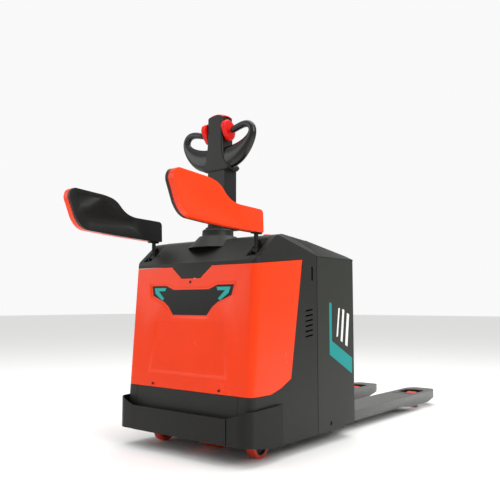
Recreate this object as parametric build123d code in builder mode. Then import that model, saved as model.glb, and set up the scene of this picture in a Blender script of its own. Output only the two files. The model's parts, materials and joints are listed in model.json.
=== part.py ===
"""Stand-on electric pallet truck with folding side guards, in millimetres.

Frame: +Z up, +Y along the forks towards their tips, +X to the right-hand side as seen by the
operator, who stands at the -Y end and faces +Y. The floor is z = 0. Y values in this file are
counted from the bumper's front plate and moved to the part's own frame by y_of().
"""

import os
from math import asin, cos, degrees, radians

from build123d import *

# ---------------------------------------------------------------- driving dimensions
bumper_y = -817.0            # where the bumper's front plate stands in the part's frame
body_width = 720.0           # over the side panels
body_half = body_width / 2
cover_wall = 4.0             # moulded covers
cover_joint = 1.5            # visible joint between neighbouring covers
compartment_length = 506.0   # bumper plate to the joint with the battery box
seam_gap = 4.0
panel_bottom = 54.0          # lower edge of the side covers
band_z = 775.0               # upper edge of the coloured front cover at the middle
crease_z = 800.0             # where the face turns back into the sloping upper cowl
top_z = 912.0                # highest line of the cowl
lean_low, lean_high = 28.0, 92.0     # how far the face stands behind the bumper, low and high
corner_radius = 30.0         # upright corners between the face and the sides
running = 0.05               # radial clearance of a shaft in its bore
gap = 0.3                    # clearance between pieces that only lie beside each other

base_z, base_thick = 130.0, 10.0     # chassis base plate
deck_z, deck_thick = 280.0, 12.0     # plate that carries the drive unit
steer_at = 250.0             # steering axis, behind the bumper plate
drive_wheel_radius, drive_wheel_width, drive_rim_radius = 115.0, 75.0, 88.0
axle_radius = 20.0
neck_radius = 80.0           # drive unit's neck in the slewing ring
motor_radius, motor_top = 70.0, 500.0
column_radius = 24.0
tower_z = 880.0              # plate that steadies the steering column

caster_x, caster_at = 272.0, 174.0
caster_radius, caster_width, caster_trail = 50.0, 44.0, 18.0
kingpin_radius, caster_axle_radius = 10.0, 6.0

bumper_half, bumper_low, bumper_high, bumper_plate_thick = 270.0, 79.0, 180.0, 8.0
guard_thick = 6.0

arm_inner, arm_outer = 282.0, 326.0  # the guard's two faces, from the middle plane
arm_split = 297.0            # where its outer shell meets its inner pad
arm_x = 306.0                # its rod's middle plane
arm_pivot_at, arm_pivot_z = 143.0, 832.0
arm_pin_radius, arm_rod_radius, arm_boss_radius = 6.0, 9.0, 12.0
arm_seat_z = 908.0           # underside of the guard where its rod's flange is bolted
pocket_in, pocket_out, pocket_low = 284.0, 334.0, 812.0

tiller_pivot_at, tiller_pivot_z = 268.0, 1014.0
tiller_pin_radius = 8.0
mast_half, mast_front, mast_back, mast_wall = 50.0, 235.0, 318.0, 10.0
head_bottom, head_top = 1216.0, 1470.0
head_half, head_front, head_back = 46.0, 226.0, 296.0
throttle_at, throttle_z, throttle_shaft_radius = 252.0, 1392.0, 6.0
button_radius, button_z, button_places = 8.0, 1345.0, (-24.0, 0.0, 24.0)
belly_radius = 18.0          # stem of the safety switch on top of the head

box_back_at = 823.0          # rear face of the battery box, where the forks begin
lid_base_z, lid_front_z, lid_back_z = 827.0, 904.0, 850.0
lid_shoulder = 60.0          # how far the sloping shoulder reaches in at the front
lid_hinge_z, lid_pin_radius, lid_knuckle_radius = 820.0, 4.0, 6.7
carriage_wall = 8.0

fork_length, fork_width, forks_over_all = 1150.0, 180.0, 570.0
fork_top, fork_plate, fork_skirt, fork_belly = 92.0, 6.0, 42.0, 30.0
fork_x = (forks_over_all - fork_width) / 2
fork_tip_at = box_back_at + fork_length
load_wheel_radius, load_wheel_width = 44.0, 60.0
load_wheel_at = fork_tip_at - 173.0
load_axle_radius = 8.0
lift_travel = 120.0
yoke_length, yoke_pivot_z, yoke_pin_radius = 165.0, 58.0, 8.0
rod_offset, rod_pin_radius, rod_eye_radius = 22.0, 5.0, 8.0
crank_at, crank_shaft_radius = 680.0, 9.0    # torsion shaft under the battery box
pull_rod_radius = 5.0        # passes under the shaft with the levers swung, so thinner than it
lever_in, lever_out = 8.0, 14.0      # a lever's two cheeks, from its rod's middle
yoke_rest = degrees(asin((yoke_pivot_z - load_wheel_radius) / yoke_length))
yoke_full = degrees(asin((yoke_pivot_z - load_wheel_radius + lift_travel) / yoke_length))
yoke_pivot_at = load_wheel_at - yoke_length * cos(radians(yoke_rest))

# ---------------------------------------------------------------- values that follow
compartment_end = compartment_length - seam_gap / 2
box_front_at = compartment_length + seam_gap / 2
bulkhead_at = compartment_length - 24.0      # rear face of the bulkhead
bulkhead_thick = 10.0
floor_z = fork_top - 22.0                    # battery floor, just above the fork channels
lid_hinge_at = box_back_at + lid_knuckle_radius + gap
rail_x, rail_half, rail_deep = 200.0, 10.0, 18.0
rib_out = 82.0               # outer side of a torsion shaft rib, from its fork's middle
lift_rod_radius, lift_barrel_radius, lift_rod_at = 14.0, 26.0, box_front_at + 41.0
lift_barrel_low, lift_barrel_high, lift_beam_z = 72.0, 560.0, 745.0
belly_at = (head_front + head_back) / 2 + 4
collar_half = mast_half + 6.0                # the head's collar round the mast

finished = []


def y_of(at):
    """Y in the part's frame of a distance behind the bumper's front plate."""
    return bumper_y + at


def keep(piece, label):
    """Names a finished piece and puts it on the list to be written."""
    piece.part.label = label
    finished.append(piece.part)


# Each helper below works on the part that is being built around its call.
def box(x0, x1, at0, at1, z0, z1, mode=Mode.ADD):
    """A plain block between two corners."""
    with Locations(((x0 + x1) / 2, y_of((at0 + at1) / 2), (z0 + z1) / 2)):
        Box(abs(x1 - x0), at1 - at0, z1 - z0, mode=mode)


def rod_x(radius, x0, x1, at, z, mode=Mode.ADD):
    """A round bar along X."""
    with Locations(Location(((x0 + x1) / 2, y_of(at), z), (0, 90, 0))):
        Cylinder(radius, abs(x1 - x0), mode=mode)


def rod_y(radius, x, at0, at1, z, mode=Mode.ADD):
    """A round bar along Y."""
    with Locations(Location((x, y_of((at0 + at1) / 2), z), (90, 0, 0))):
        Cylinder(radius, at1 - at0, mode=mode)


def rod_z(radius, z0, z1, x, at, mode=Mode.ADD):
    """A round bar along Z."""
    with Locations((x, y_of(at), (z0 + z1) / 2)):
        Cylinder(radius, z1 - z0, mode=mode)


def side_slab(points, x0, x1, mode=Mode.ADD, rounding=0.0):
    """A side-view outline of (at, z) points, made solid between two X positions."""
    low, high = min(x0, x1), max(x0, x1)
    with BuildSketch(Plane.YZ.offset(low)) as outline:
        with BuildLine():
            Polyline(*[(y_of(at), z) for at, z in points], close=True)
        make_face()
        if rounding:
            fillet(outline.vertices(), rounding)
    extrude(outline.sketch, amount=high - low, mode=mode)


def front_slab(points, at0, at1, mode=Mode.ADD, rounding=0.0):
    """A front-view outline of (x, z) points, made solid between two distances."""
    with BuildSketch(Plane.XZ.offset(-y_of(at1))) as outline:
        with BuildLine():
            Polyline(*points, close=True)
        make_face()
        if rounding:
            fillet(outline.vertices(), rounding)
    extrude(outline.sketch, amount=at1 - at0, mode=mode)


def plan_slab(points, z0, z1, mode=Mode.ADD, rounding=0.0):
    """A plan-view outline of (x, at) points, made solid between two heights."""
    with BuildSketch(Plane.XY.offset(z0)) as outline:
        with BuildLine():
            Polyline(*[(x, y_of(at)) for x, at in points], close=True)
        make_face()
        if rounding:
            fillet(outline.vertices(), rounding)
    extrude(outline.sketch, amount=z1 - z0, mode=mode)


# ---------------------------------------------------------------- drive compartment's shape
section_low, section_high = -60.0, 960.0


def face_at(z):
    """How far the leaning front face stands behind the bumper plate at a height."""
    return lean_low + (lean_high - lean_low) * z / top_z


def cowl_section(z, inset):
    """Plan outline of the drive compartment at one height, its corners rounded."""
    front, rear = y_of(face_at(z)), y_of(compartment_length + 200)
    with BuildSketch(Plane.XY.offset(z)) as section:
        with BuildLine():
            Polyline(
                (-body_half, rear),
                (-body_half, front),
                (body_half, front),
                (body_half, rear),
                close=True,
            )
        make_face()
        fillet(section.vertices().filter_by(lambda v: v.Y < rear - 1), corner_radius)
        if inset:
            offset(amount=-inset, mode=Mode.REPLACE)
    return section.sketch


def cowl_volume(inset):
    """The drive compartment's outer shape, drawn in by inset on every side."""
    with BuildPart() as volume:
        loft([cowl_section(section_low, inset), cowl_section(section_high, inset)], ruled=True)
        # side view: the face runs up to the crease, then slopes back to the top
        with BuildSketch(Plane.YZ.offset(-body_half - 10)) as profile:
            with BuildLine():
                Polyline(
                    (y_of(-60), section_low),
                    (y_of(-60), crease_z - 118),
                    (y_of(96), crease_z + 4),
                    (y_of(203), top_z - 14),
                    (y_of(275), top_z),
                    (y_of(compartment_length + 260), top_z - 22),
                    (y_of(compartment_length + 260), section_low),
                    close=True,
                )
            make_face()
            brow = profile.vertices().filter_by(
                lambda v: y_of(90) < v.X < y_of(compartment_length) and v.Y > crease_z
            )
            fillet(brow, 40.0)
            if inset:
                offset(amount=-inset, mode=Mode.REPLACE)
        extrude(profile.sketch, amount=body_width + 20, mode=Mode.INTERSECT)
        for side in (-1, 1):
            # the shoulder falls away towards the battery box
            corners = []
            for at, across, down in ((215, 2.0, 2.0), (compartment_length + 10, lid_shoulder, 74.0)):
                reach = 40.0
                rate = down / across
                x = body_half - across - inset
                high = top_z - 8 - inset
                with BuildSketch(Plane.XZ.offset(-y_of(at))) as corner:
                    with BuildLine():
                        Polyline(
                            (side * (x - reach / rate), high + reach),
                            (side * (x + across + reach), high - down - reach * rate),
                            (side * (x + across + reach), high + reach),
                            close=True,
                        )
                    make_face()
                corners.append(corner.sketch)
            loft(corners, ruled=True, mode=Mode.SUBTRACT)
    return volume.part


outer_volume = cowl_volume(0)
inner_volume = cowl_volume(cover_wall)
with BuildPart() as skin:
    add(outer_volume)
    add(inner_volume, mode=Mode.SUBTRACT)
    box(-500, 500, -50, compartment_end, panel_bottom, 960, mode=Mode.INTERSECT)
shell = skin.part

# the coloured front cover, seen from the side: its lower edge sweeps up behind the corner
cover_low = 262.0
sweep_low, sweep_high = (306.0, 313.0), (392.0, 808.0)


def front_cover_outline(grow):
    """Side-view region of the front cover, larger by grow where it meets other covers."""
    return [
        (-60, cover_low - grow),
        (170, cover_low - grow),
        (235 + grow / 2, cover_low + 18 - grow),
        (sweep_low[0] + grow, sweep_low[1] - grow / 2),
        (sweep_high[0] + grow, sweep_high[1] + grow),
        (90, band_z + grow + 4),
        (-60, band_z + grow),
    ]


# the upper cowl reaches down into a notch in the middle of the front cover
notch_top, notch_low, notch_depth = 112.0, 54.0, 46.0


def notch_outline(grow):
    """Front-view region of that notch."""
    half = [(notch_low + grow, band_z - notch_depth - grow), (notch_top + grow, band_z - 2),
            (notch_top + 40 + grow, band_z + 60)]
    return half + [(-x, z) for x, z in reversed(half)]


recess_half = [(100, 572), (128, 606), (160, 628), (232, 655), (243, 698), (150, 698), (104, 680)]
recess = recess_half + [(-x, z) for x, z in reversed(recess_half)]
screw_places = ((-193, 276), (193, 276), (0, 712))
screw_radius = 5.0

with BuildPart() as front_cover:
    add(shell)
    side_slab(front_cover_outline(0), -500, 500, mode=Mode.INTERSECT)
    front_slab(notch_outline(cover_joint), -50, 150, mode=Mode.SUBTRACT)
    front_slab(recess, -50, 130, mode=Mode.SUBTRACT)
    for x, z in screw_places:
        rod_y(screw_radius / 2 + 0.5, x, 0, 130, z, mode=Mode.SUBTRACT)
keep(front_cover, "front_cover")

# dark panel behind the recess, against the front cover's inner side
panel_front = cowl_volume(cover_wall + gap)
panel_rear = cowl_volume(14.0)
recess_low, recess_high, recess_reach = 560.0, 712.0, 256.0
with BuildPart() as face_panel:
    add(panel_front)
    add(panel_rear, mode=Mode.SUBTRACT)
    box(-recess_reach, recess_reach, 0, 120, recess_low, recess_high - 16, mode=Mode.INTERSECT)
keep(face_panel, "face_panel")

# two angular accent lamps set on the dark panel
lamp = [(224, 689), (150, 689), (156, 675), (197, 675), (160, 642), (171, 634), (216, 664)]
lamp_front = cowl_volume(cover_wall - 1.5)
with BuildPart() as accent_lamps:
    add(lamp_front)
    add(panel_front, mode=Mode.SUBTRACT)
    with BuildSketch(Plane.XZ.offset(-y_of(130))) as lamps:
        for side in (-1, 1):
            with BuildLine():
                Polyline(*[(side * x, z) for x, z in lamp], close=True)
            make_face()
    extrude(lamps.sketch, amount=130, mode=Mode.INTERSECT)
keep(accent_lamps, "accent_lamps")

# the screws stand in the cover's holes with their heads outside
with BuildPart() as cover_screws:
    for x, z in screw_places:
        rod_y(screw_radius / 2, x, face_at(z) - 1, face_at(z) + 16, z)
        rod_y(screw_radius, x, face_at(z) - 3.6, face_at(z) - 0.8, z)
keep(cover_screws, "cover_screws")

hump_low, hump_high = 345.0, 318.0   # the lid of the cowl ends on these lines at the sides


def lid_side(grow):
    """Front-view region outside the upper cowl's sloping lid, on the right."""
    return [(hump_low + grow, sweep_high[1] + grow), (500, sweep_high[1] + grow), (500, 960),
            (hump_high + grow, 960)]


with BuildPart() as cowl_tongue:
    add(shell)
    front_slab(notch_outline(0), -50, 150, mode=Mode.INTERSECT)
    box(-200, 200, -60, 150, 0, band_z + 10, mode=Mode.INTERSECT)

wall = 3.0                   # walls of the pockets that the guards' rods stand in
switch_at, switch_low = 420.0, 899.0
key_x, gauge_x, stop_x = -150.0, 0.0, 150.0
with BuildPart() as top_cowl:
    for side in (-1, 1):
        box(side * (pocket_in - wall), side * (pocket_out + wall), 80, 190 + wall,
            pocket_low - wall, 960)
    add(lamp_front, mode=Mode.INTERSECT)
    add(shell)
    side_slab(front_cover_outline(cover_joint), -500, 500, mode=Mode.SUBTRACT)
    box(-500, 500, -60, compartment_end, band_z - 70, 960, mode=Mode.INTERSECT)
    side_slab([(sweep_low[0] + cover_joint, sweep_low[1]),
               (sweep_high[0] + cover_joint, sweep_high[1] + cover_joint),
               (700, sweep_high[1] + cover_joint), (700, sweep_low[1])], -500, 500,
              mode=Mode.SUBTRACT)
    for side in (-1, 1):
        front_slab([(side * x, z) for x, z in lid_side(0)], -60, 600, mode=Mode.SUBTRACT)
        box(side * pocket_in, side * pocket_out, 60, 190, pocket_low, 960, mode=Mode.SUBTRACT)
    add(cowl_tongue.part)
    rod_z(58, 850, 960, 0, steer_at, mode=Mode.SUBTRACT)
    for x in (key_x, stop_x):
        rod_z(12, 860, 960, x, switch_at, mode=Mode.SUBTRACT)
keep(top_cowl, "top_cowl")

# black side covers, cut away low down where the guard hides the caster
skirt_half = 292.0
skirt_bottom = base_z + base_thick + gap
vent_places = [475 + 22 * i for i in range(6)]
for side, name in ((-1, "left"), (1, "right")):
    with BuildPart() as side_cover:
        add(shell)
        box(side * 0.1, side * 500, -60, compartment_end, 0, 960, mode=Mode.INTERSECT)
        side_slab(front_cover_outline(cover_joint), -500, 500, mode=Mode.SUBTRACT)
        # what belongs to the upper cowl
        front_slab([(-side * 10, sweep_high[1]), (side * (hump_low + cover_joint), sweep_high[1]),
                    (side * (hump_high + cover_joint), 960), (-side * 10, 960)], -60, 600,
                   mode=Mode.SUBTRACT)
        box(-500, 500, -60, sweep_high[0] + cover_joint, band_z - 5, sweep_high[1],
            mode=Mode.SUBTRACT)
        # what belongs to the lower skirt, and the caster's room
        box(-side * 10, side * (skirt_half + cover_joint), -60, 300, 0, 500, mode=Mode.SUBTRACT)
        box(-side * 10, side * 500, -60, 215, 0, 112, mode=Mode.SUBTRACT)
        # grip slot and slanted louvres
        side_slab([(462, 720), (474, 720), (474, 782), (462, 782)], side * 300, side * 400,
                  mode=Mode.SUBTRACT, rounding=5.5)
        for z in vent_places:
            side_slab([(414, z), (470, z + 7), (470, z + 14), (414, z + 7)], side * 300, side * 400,
                      mode=Mode.SUBTRACT)
    keep(side_cover, f"side_cover_{name}")

with BuildPart() as lower_skirt:
    add(shell)
    box(-skirt_half, skirt_half, -60, 110, skirt_bottom, cover_low - cover_joint,
        mode=Mode.INTERSECT)
keep(lower_skirt, "lower_skirt")

# ---------------------------------------------------------------- chassis
web_x, web_thick = 150.0, 10.0
deck_front, deck_back = 120.0, 380.0
caster_boss_radius = 22.0
tower_half = 70.0
wheel_room = drive_wheel_radius + 10.0   # hole in the base over the steered wheel
base_blank = cowl_section(base_z, cover_wall + 3)
with BuildPart() as chassis_frame:
    extrude(base_blank, amount=base_thick)
    box(-500, 500, 46, bulkhead_at, base_z, base_z + base_thick, mode=Mode.INTERSECT)
    box(-web_x, web_x, deck_front, deck_back, deck_z, deck_z + deck_thick)
    for side in (-1, 1):
        box(side * (web_x - web_thick), side * web_x, deck_front, deck_back, base_z, deck_z + 1)
        box(side * (web_x - 20), side * (web_x + 20), bumper_plate_thick, 60, base_z,
            base_z + base_thick)
        rod_z(caster_boss_radius, base_z, base_z + 36, side * caster_x, caster_at)
        # rails that guide the fork carriage
        box(side * (rail_x - rail_half), side * (rail_x + rail_half), bulkhead_at - 1,
            bulkhead_at + rail_deep, 130, 850)
    for half, low, high in ((body_half - 25, 60, 815), (body_half - 75, 814, 868)):
        box(-half, half, bulkhead_at - bulkhead_thick, bulkhead_at, low, high)
    # foot of the lift cylinder
    box(-50, 50, bulkhead_at - 1, lift_rod_at + lift_barrel_radius + 4, lift_barrel_low - 12,
        lift_barrel_low)
    # tower that steadies the steering column
    box(-tower_half, tower_half, deck_back - web_thick, deck_back, deck_z, tower_z + 1)
    box(-tower_half, tower_half, steer_at - 45, deck_back, tower_z - web_thick, tower_z)
    rod_z(column_radius + 14, tower_z - 24, tower_z, 0, steer_at)
    box(-tower_half, tower_half, deck_back - 1, bulkhead_at, 700, 700 + web_thick)
    rod_z(wheel_room, base_z - 1, base_z + base_thick + 1, 0, steer_at, mode=Mode.SUBTRACT)
    rod_z(neck_radius + 4, deck_z - 1, deck_z + deck_thick + 1, 0, steer_at, mode=Mode.SUBTRACT)
    rod_z(column_radius + running, tower_z - 30, tower_z + 1, 0, steer_at, mode=Mode.SUBTRACT)
    for side in (-1, 1):
        rod_z(kingpin_radius + running, base_z - 1, base_z + 40, side * caster_x, caster_at,
              mode=Mode.SUBTRACT)
keep(chassis_frame, "chassis_frame")

slew_ring_low = 262.0 + gap
with BuildPart() as slewing_ring:
    rod_z(neck_radius + 26, slew_ring_low, deck_z, 0, steer_at)
    rod_z(neck_radius + running, slew_ring_low - 1, deck_z + 1, 0, steer_at, mode=Mode.SUBTRACT)
keep(slewing_ring, "slewing_ring")

with BuildPart() as bumper_plate:
    box(-bumper_half + 1, bumper_half - 1, 0, bumper_plate_thick, bumper_low, bumper_high)
    box(-bumper_half + 12, bumper_half - 12, bumper_plate_thick, 26, bumper_low, bumper_low + 5)
    fillet(bumper_plate.edges().filter_by(Axis.X).group_by(Axis.Y)[0].sort_by(Axis.Z)[-1], 4)
    for side in (-1, 1):
        rod_y(2.5, side * (bumper_half - 12), -1, 3, bumper_low + 16, mode=Mode.SUBTRACT)
keep(bumper_plate, "bumper_plate")

# side guards of the bumper: out and back round the casters, rising to the rear
guard_clear = 6.0            # between a guard and the side cover beside it
guard_x = body_half + guard_clear + guard_thick / 2
guard_at = 5.0               # middle of its thickness at the front
guard_run = [(bumper_half + 1, guard_at), (guard_x, guard_at), (guard_x, 238.0)]
guard_bend = 44.0
for side, name in ((-1, "left"), (1, "right")):
    with BuildPart() as guard:
        with BuildLine() as run:
            Polyline(*[(side * x, y_of(at)) for x, at in guard_run])
            fillet(run.vertices().filter_by(lambda v: abs(v.X) > guard_x - 1 and v.Y < y_of(20)),
                   guard_bend)
        with BuildSketch() as band:
            trace(run.line, line_width=guard_thick)
        extrude(band.sketch, amount=300)
        # its lower edge drops towards the rear; its upper edge rises round the bend
        side_slab([(0, bumper_low), (16, bumper_low), (182, 54), (236, 54), (236, 219),
                   (45, 212), (0, 212)], side * (bumper_half - 40), side * (guard_x + 31),
                  mode=Mode.INTERSECT)
        front_slab([(side * (bumper_half - 40), 20), (side * (guard_x + 31), 20),
                    (side * (guard_x + 31), 300), (side * guard_x, 300), (side * (guard_x - 6), 212),
                    (side * (guard_x - 31), 203), (side * bumper_half, bumper_high),
                    (side * (bumper_half - 40), bumper_high)], -10, 250, mode=Mode.INTERSECT)
        # lug bolted to the back of the bumper plate
        box(side * (bumper_half + 4), side * (bumper_half + 11), guard_at, bumper_plate_thick + 6,
            100, 160)
        box(side * (bumper_half - 30), side * (bumper_half + 11), bumper_plate_thick,
            bumper_plate_thick + 6, 100, 160)
    keep(guard, f"bumper_guard_{name}")

# hinge for a foot board, in the tray between the bumper plate and the skirt
with BuildPart() as footboard_hinge:
    rod_x(5, -226, 22, 21, 166)
    for x in (-236, 10, 62, 118):
        box(x, x + 22, bumper_plate_thick, 30, 152, 176)
keep(footboard_hinge, "footboard_hinge")

pump_x, pump_at = -235.0, 400.0
with BuildPart() as pump_pack:
    box(pump_x - 55, pump_x + 55, pump_at - 60, pump_at + 60, base_z + base_thick, 300)
    rod_z(48, 300, 430, pump_x, pump_at)
    rod_x(12, pump_x + 54, pump_x + 74, pump_at, 270)
keep(pump_pack, "pump_pack")

with BuildPart() as controller:
    box(170, 300, bulkhead_at - bulkhead_thick - 70, bulkhead_at - bulkhead_thick, 300, 480)
    for z in (330, 360, 390, 420, 450):
        box(170, 300, bulkhead_at - bulkhead_thick - 82, bulkhead_at - bulkhead_thick - 69, z, z + 8)
keep(controller, "controller")

with BuildPart() as lift_cylinder:
    rod_z(lift_barrel_radius, lift_barrel_low, lift_barrel_high, 0, lift_rod_at)
    rod_z(18, lift_barrel_low + 10, lift_barrel_high - 30, 0, lift_rod_at, mode=Mode.SUBTRACT)
    rod_z(lift_rod_radius + running, lift_barrel_high - 31, lift_barrel_high + 1, 0, lift_rod_at,
          mode=Mode.SUBTRACT)
keep(lift_cylinder, "lift_cylinder")

# low cone on top of the cowl, with the fixed collar of the column boot
collar_low, collar_high, collar_radius = 918.0, 950.0, 70.0
with BuildPart() as column_plate:
    with BuildSketch(Plane.XZ.offset(-y_of(steer_at))):
        with BuildLine():
            Polyline((0, 866), (132, 866), (84, collar_low), (collar_radius + 3, collar_low),
                     (collar_radius, collar_low + 6), (collar_radius, collar_high - 5),
                     (collar_radius - 5, collar_high), (0, collar_high), close=True)
        make_face()
    revolve(axis=Axis((0, y_of(steer_at), 0), (0, 0, 1)))
    add(outer_volume, mode=Mode.SUBTRACT)
    rod_z(56, tower_z, 900, 0, steer_at)
    rod_z(48, tower_z, 930, 0, steer_at, mode=Mode.SUBTRACT)
    rod_z(column_radius + 2, tower_z, collar_high + 1, 0, steer_at, mode=Mode.SUBTRACT)
    # cable gland on the collar's left side
    rod_x(11, -collar_radius - 12, -collar_radius + 4, steer_at - 6, collar_low + 16)
keep(column_plate, "column_plate")

# brackets and pins in the pockets, on which the side guards fold
cheek_in, cheek_out, cheek_thick = arm_x - 12 - 7, arm_x + 12 + 7, 7.0
with BuildPart() as guard_brackets:
    for side in (-1, 1):
        box(side * cheek_in, side * cheek_out, 124, 162, pocket_low, pocket_low + 6)
        for x in (cheek_in, cheek_out - cheek_thick):
            box(side * x, side * (x + cheek_thick), 124, 162, pocket_low, arm_pivot_z)
            rod_x(14, side * x, side * (x + cheek_thick), arm_pivot_at, arm_pivot_z)
        rod_x(arm_pin_radius, side * (cheek_in - 2), side * (cheek_out + 2), arm_pivot_at,
              arm_pivot_z)
keep(guard_brackets, "guard_brackets")

# key switch, battery gauge and emergency stop, on the cowl behind the column
key_radius, stop_radius, stop_stem = 6.0, 19.0, 9.0
with BuildPart() as switch_panel:
    box(-190, 190, switch_at - 42, switch_at + 42, switch_low - 4, 912)
    add(outer_volume, mode=Mode.SUBTRACT)
    fillet(switch_panel.edges().filter_by(Axis.Z), 8)
    box(gauge_x - 45, gauge_x + 45, switch_at - 22, switch_at + 22, 911, 914)
    rod_z(14, 911, 915, key_x, switch_at)
    rod_z(26, 911, 914, stop_x, switch_at)
    rod_z(key_radius + running, 880, 920, key_x, switch_at, mode=Mode.SUBTRACT)
    rod_z(stop_stem + running, 880, 920, stop_x, switch_at, mode=Mode.SUBTRACT)
keep(switch_panel, "switch_panel")

with BuildPart() as key:
    rod_z(key_radius, 908, 922, key_x, switch_at)
    box(key_x - 2, key_x + 2, switch_at - 12, switch_at + 12, 916, 936)
keep(key, "key")

with BuildPart() as stop_button:
    rod_z(stop_stem, 907, 924, stop_x, switch_at)
    rod_z(stop_radius, 920, 934, stop_x, switch_at)
    fillet(stop_button.edges().group_by(Axis.Z)[-1], 4)
keep(stop_button, "stop_button")

# ---------------------------------------------------------------- steered drive unit
flange_high = 262.0
motor_low = deck_z + deck_thick + 8
leg_in, leg_out, leg_half = 42.0, 92.0, 50.0
with BuildPart() as gearbox:
    with BuildSketch(Plane.YZ.offset(leg_in)) as leg:
        with Locations((y_of(steer_at), drive_wheel_radius)):
            Circle(leg_half)
        with Locations((y_of(steer_at), (drive_wheel_radius + flange_high - 6) / 2)):
            Rectangle(2 * leg_half, flange_high - 6 - drive_wheel_radius)
    extrude(amount=leg_out - leg_in)
    rod_z(neck_radius + 25, flange_high - 14, flange_high, 0, steer_at)
    rod_z(neck_radius, flange_high - 1, motor_low, 0, steer_at)
    rod_x(axle_radius + running, leg_in - 1, leg_out - 8, steer_at, drive_wheel_radius,
          mode=Mode.SUBTRACT)
keep(gearbox, "gearbox")

hub_half = drive_wheel_width / 2
with BuildPart() as drive_hub:
    rod_x(drive_rim_radius, -hub_half + 4, hub_half - 4, steer_at, drive_wheel_radius)
    rod_x(drive_rim_radius - 14, -hub_half + 3, -hub_half + 16, steer_at, drive_wheel_radius,
          mode=Mode.SUBTRACT)
    rod_x(axle_radius, -hub_half + 2, leg_out - 8 - gap, steer_at, drive_wheel_radius)
    with Locations(Location((-hub_half + 14, y_of(steer_at), drive_wheel_radius), (0, -90, 0))):
        with PolarLocations(44, 6):
            Cylinder(6, 8)
keep(drive_hub, "drive_hub")

with BuildPart() as drive_tyre:
    rod_x(drive_wheel_radius, -hub_half, hub_half, steer_at, drive_wheel_radius)
    chamfer(drive_tyre.edges(), 3)
    rod_x(drive_rim_radius, -hub_half - 1, hub_half + 1, steer_at, drive_wheel_radius,
          mode=Mode.SUBTRACT)
keep(drive_tyre, "drive_tyre")

with BuildPart() as traction_motor:
    rod_z(neck_radius + 14, motor_low, motor_low + 12, 0, steer_at)
    rod_z(motor_radius, motor_low + 11, motor_top, 0, steer_at)
    rod_z(motor_radius - 14, motor_top - 1, motor_top + 20, 0, steer_at)
keep(traction_motor, "traction_motor")

column_low = motor_top + 20
boot_low, boot_high, boot_radius = collar_high + gap, 975.0, 46.0
with BuildPart() as steering_column:
    rod_z(45, column_low, column_low + 12, 0, steer_at)
    rod_z(column_radius, column_low + 11, boot_high - 1, 0, steer_at)
    rod_z(boot_radius + 10, boot_low, boot_low + 9, 0, steer_at)
    rod_z(boot_radius, boot_low + 8, boot_high, 0, steer_at)
keep(steering_column, "steering_column")

tongue_half = mast_half - mast_wall - gap
with BuildPart() as tiller_bracket:
    side_slab([(tiller_pivot_at - 36, boot_high), (tiller_pivot_at + 22, boot_high),
               (tiller_pivot_at + 22, tiller_pivot_z), (tiller_pivot_at - 22, tiller_pivot_z)],
              -tongue_half, tongue_half)
    rod_x(22, -tongue_half, tongue_half, tiller_pivot_at, tiller_pivot_z)
    rod_x(tiller_pin_radius, -mast_half, mast_half, tiller_pivot_at, tiller_pivot_z)
keep(tiller_bracket, "tiller_bracket")

# ---------------------------------------------------------------- tiller
nose = tiller_pivot_at - mast_front          # radius of the mast's lower end round its pin
heel_front, heel_back, heel_low = 300.0, 356.0, 954.0
with BuildPart() as tiller_mast:
    box(-mast_half, mast_half, mast_front, mast_back, tiller_pivot_z, head_bottom + 20)
    rod_x(nose, -mast_half, mast_half, tiller_pivot_at, tiller_pivot_z)
    side_slab([(heel_front, tiller_pivot_z + 1), (heel_front, heel_low + 8),
               (heel_front + 8, heel_low), (heel_back, heel_low), (heel_back, tiller_pivot_z - 6),
               (mast_back, tiller_pivot_z + 40), (mast_back - 2, tiller_pivot_z + 40),
               (mast_back - 2, tiller_pivot_z + 1)], -mast_half, mast_half)
    # hollow above the pin, and an open mouth for the column's tongue
    inside = mast_half - mast_wall
    box(-inside, inside, mast_front + mast_wall, mast_back - mast_wall, tiller_pivot_z - 60,
        head_bottom + 10, mode=Mode.SUBTRACT)
    box(-inside, inside, mast_front - 10, tiller_pivot_at + 24, tiller_pivot_z - 60,
        tiller_pivot_z + 25, mode=Mode.SUBTRACT)
    rod_x(tiller_pin_radius + running, -mast_half - 1, mast_half + 1, tiller_pivot_at,
          tiller_pivot_z, mode=Mode.SUBTRACT)
keep(tiller_mast, "tiller_mast")

with BuildPart() as tiller_head:
    side_slab([(head_front + 6, head_bottom + 20), (head_front + 4, 1330), (head_front, 1380),
               (head_front + 2, head_top - 8), (head_front + 10, head_top), (head_back, head_top),
               (head_back + 10, 1400), (head_back + 16, 1300), (head_back + 16, head_bottom + 20)],
              -head_half, head_half)
    box(-collar_half, collar_half, mast_front - 5, mast_back + 5, head_bottom, head_bottom + 40)
    box(-mast_half, mast_half, mast_front, mast_back, head_bottom - 1, head_bottom + 20,
        mode=Mode.SUBTRACT)
    rod_x(throttle_shaft_radius + running, -60, 60, throttle_at, throttle_z, mode=Mode.SUBTRACT)
    # wells for the buttons
    rod_z(belly_radius + gap, head_top - 16, head_top + 1, 0, belly_at, mode=Mode.SUBTRACT)
    for x in button_places:
        rod_y(button_radius + gap, x, head_back - 4, head_back + 30, button_z, mode=Mode.SUBTRACT)
keep(tiller_head, "tiller_head")

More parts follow.
